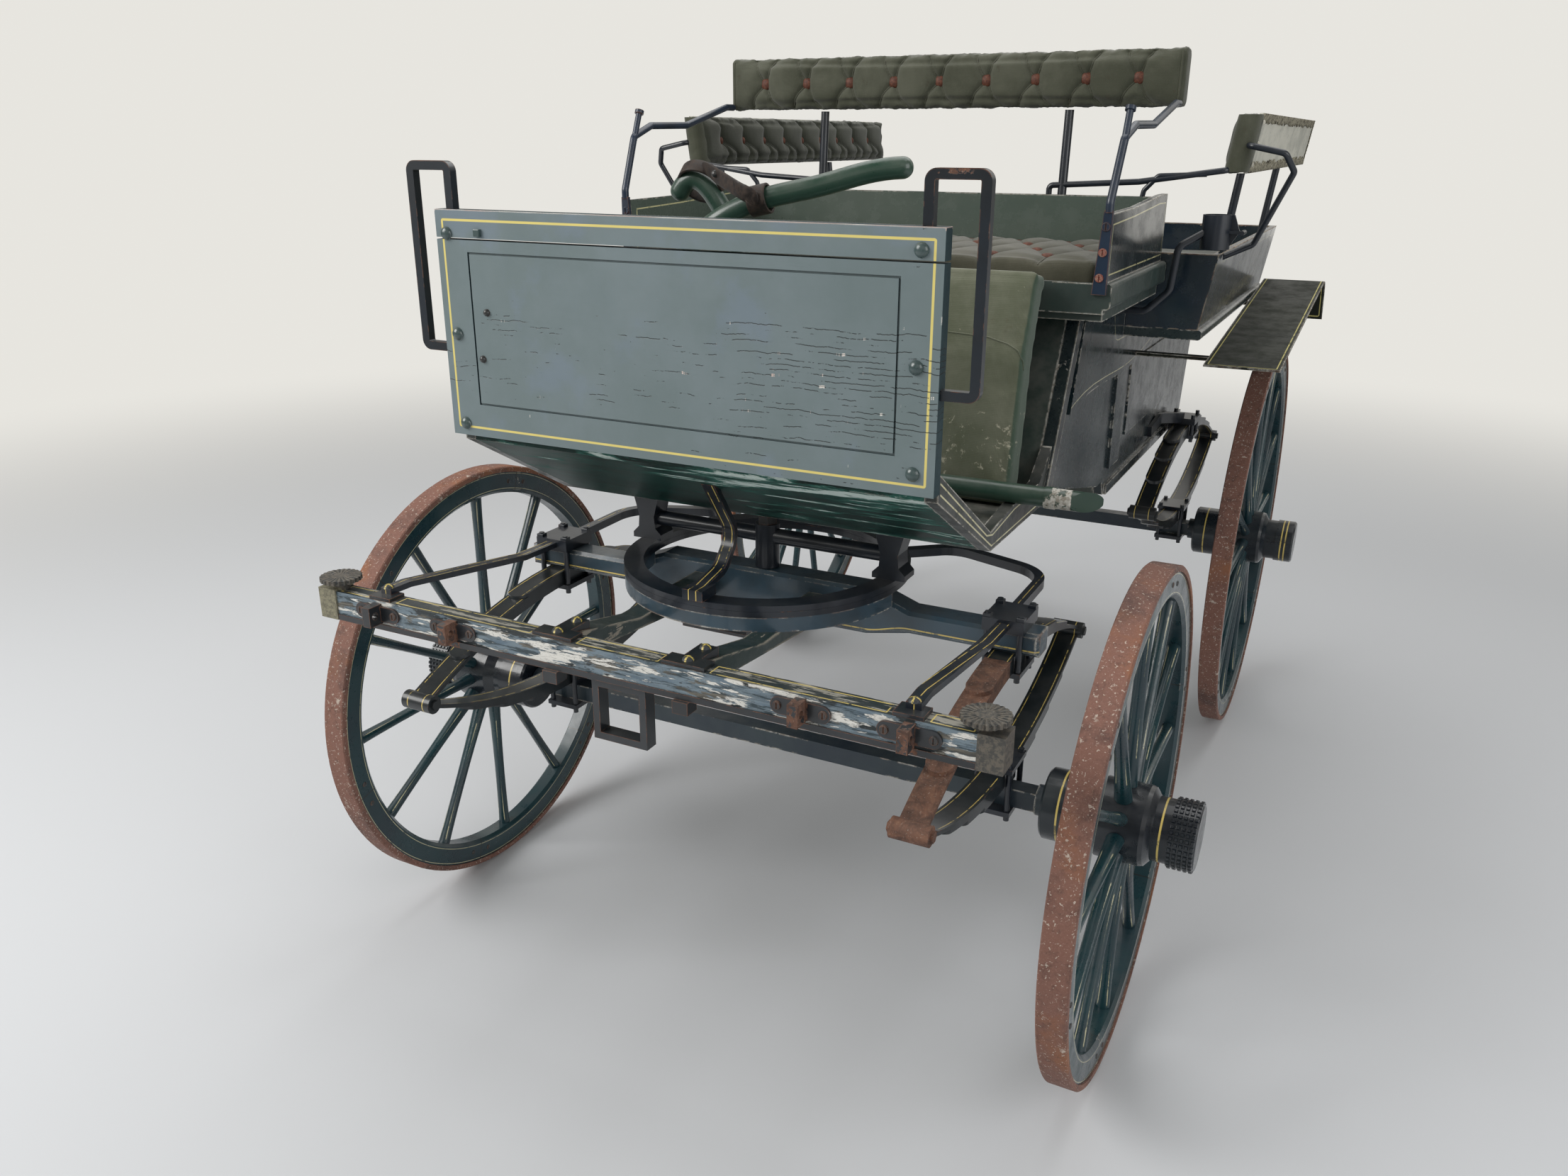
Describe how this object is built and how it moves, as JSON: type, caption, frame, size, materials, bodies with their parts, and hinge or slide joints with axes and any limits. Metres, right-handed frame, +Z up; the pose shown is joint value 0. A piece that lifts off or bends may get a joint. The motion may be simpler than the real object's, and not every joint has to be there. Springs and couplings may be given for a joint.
{
  "type": "horse drawn carriage",
  "caption": "Open sprung carriage for horses: steering turntable and splinter bar, driver's bench behind a dash, facing rear benches, mudguards and a rear door.",
  "frame": {"origin": "on the ground under the middle of the carriage", "axes": "+X to the carriage's left, +Y to its rear, +Z up"},
  "size_m": [1.588, 2.511, 1.668],
  "materials": {
    "tyre_iron": "rusted and worn",
    "wheel_paint": "old gloss, chipped",
    "nave_paint": "old gloss",
    "gear_paint": "old gloss, chipped",
    "black_iron": "satin, rusty in places",
    "bar_paint": "chipped",
    "dash_paint": "cracked satin",
    "body_paint": "old gloss, chipped",
    "olive_cloth": "matte, worn",
    "guard_paint": "satin, chipped",
    "pole_wood": "painted, worn"
  },
  "bodies": {
    "body": {"apron": "olive_cloth", "bench_boards": "body_paint", "bench_boxes": "body_paint", "bench_cushions": "olive_cloth", "bench_pans": "body_paint", "body_sides": "body_paint", "boot_floor": "body_paint", "bulkhead": "body_paint", "dash_board": "dash_paint", "dash_top_board": "dash_paint", "door_hinges": "black_iron", "driver_backrest": "olive_cloth", "driver_boards": "body_paint", "driver_cushion": "olive_cloth", "driver_frame": "body_paint", "driver_irons": "black_iron", "footwell_floor": "body_paint", "footwell_sides": "body_paint", "front_stay": "black_iron", "grab_irons": "black_iron", "heel_board": "body_paint", "kingpin": "black_iron", "lamp_sockets": "black_iron", "mudguards": "guard_paint", "rear_axle": "gear_paint", "rear_floor": "body_paint", "rear_spring_clips": "black_iron", "rear_springs": "black_iron", "rear_step": "black_iron", "rest_posts": "black_iron", "side_rests": "olive_cloth", "stowed_poles": "pole_wood", "toe_board": "dash_paint", "turntable_cross_bar": "black_iron", "turntable_ring_upper": "black_iron"},
    "front_carriage": {"front_axle": "gear_paint", "front_springs": "black_iron", "front_spring_clips": "black_iron", "turntable_beam": "gear_paint", "turntable_crescent": "gear_paint", "turntable_ring_lower": "black_iron", "turntable_stays": "black_iron", "futchells": "gear_paint", "splinter_bar": "bar_paint", "roller_bolts": "black_iron", "pole_irons": "black_iron"},
    "rear_door": {"rear_door": "body_paint"},
    "front_left_wheel": {"front_left_tyre": "tyre_iron", "front_left_felloes": "wheel_paint", "front_left_nave": "nave_paint"},
    "front_right_wheel": {"front_right_tyre": "tyre_iron", "front_right_felloes": "wheel_paint", "front_right_nave": "nave_paint"},
    "rear_left_wheel": {"rear_left_tyre": "tyre_iron", "rear_left_felloes": "wheel_paint", "rear_left_nave": "nave_paint"},
    "rear_right_wheel": {"rear_right_tyre": "tyre_iron", "rear_right_felloes": "wheel_paint", "rear_right_nave": "nave_paint"}
  },
  "joints": [
    {"name": "steering", "type": "hinge", "parent": "body", "child": "front_carriage", "pos_m": [0, -0.735, 0.78], "axis": [0, 0, 1], "range_deg": [-28, 28]},
    {"name": "front_left_spin", "type": "hinge", "parent": "front_carriage", "child": "front_left_wheel", "pos_m": [0.672, -0.735, 0.434], "axis": [1, 0, 0], "continuous": true},
    {"name": "front_right_spin", "type": "hinge", "parent": "front_carriage", "child": "front_right_wheel", "pos_m": [-0.672, -0.735, 0.434], "axis": [1, 0, 0], "continuous": true},
    {"name": "rear_left_spin", "type": "hinge", "parent": "body", "child": "rear_left_wheel", "pos_m": [0.66, 0.765, 0.5], "axis": [1, 0, 0], "continuous": true},
    {"name": "rear_right_spin", "type": "hinge", "parent": "body", "child": "rear_right_wheel", "pos_m": [-0.66, 0.765, 0.5], "axis": [1, 0, 0], "continuous": true},
    {"name": "rear_door_hinge", "type": "hinge", "parent": "body", "child": "rear_door", "pos_m": [0.252, 1.07, 0.9], "axis": [0, 0, -1], "range_deg": [0, 100]}
  ]
}
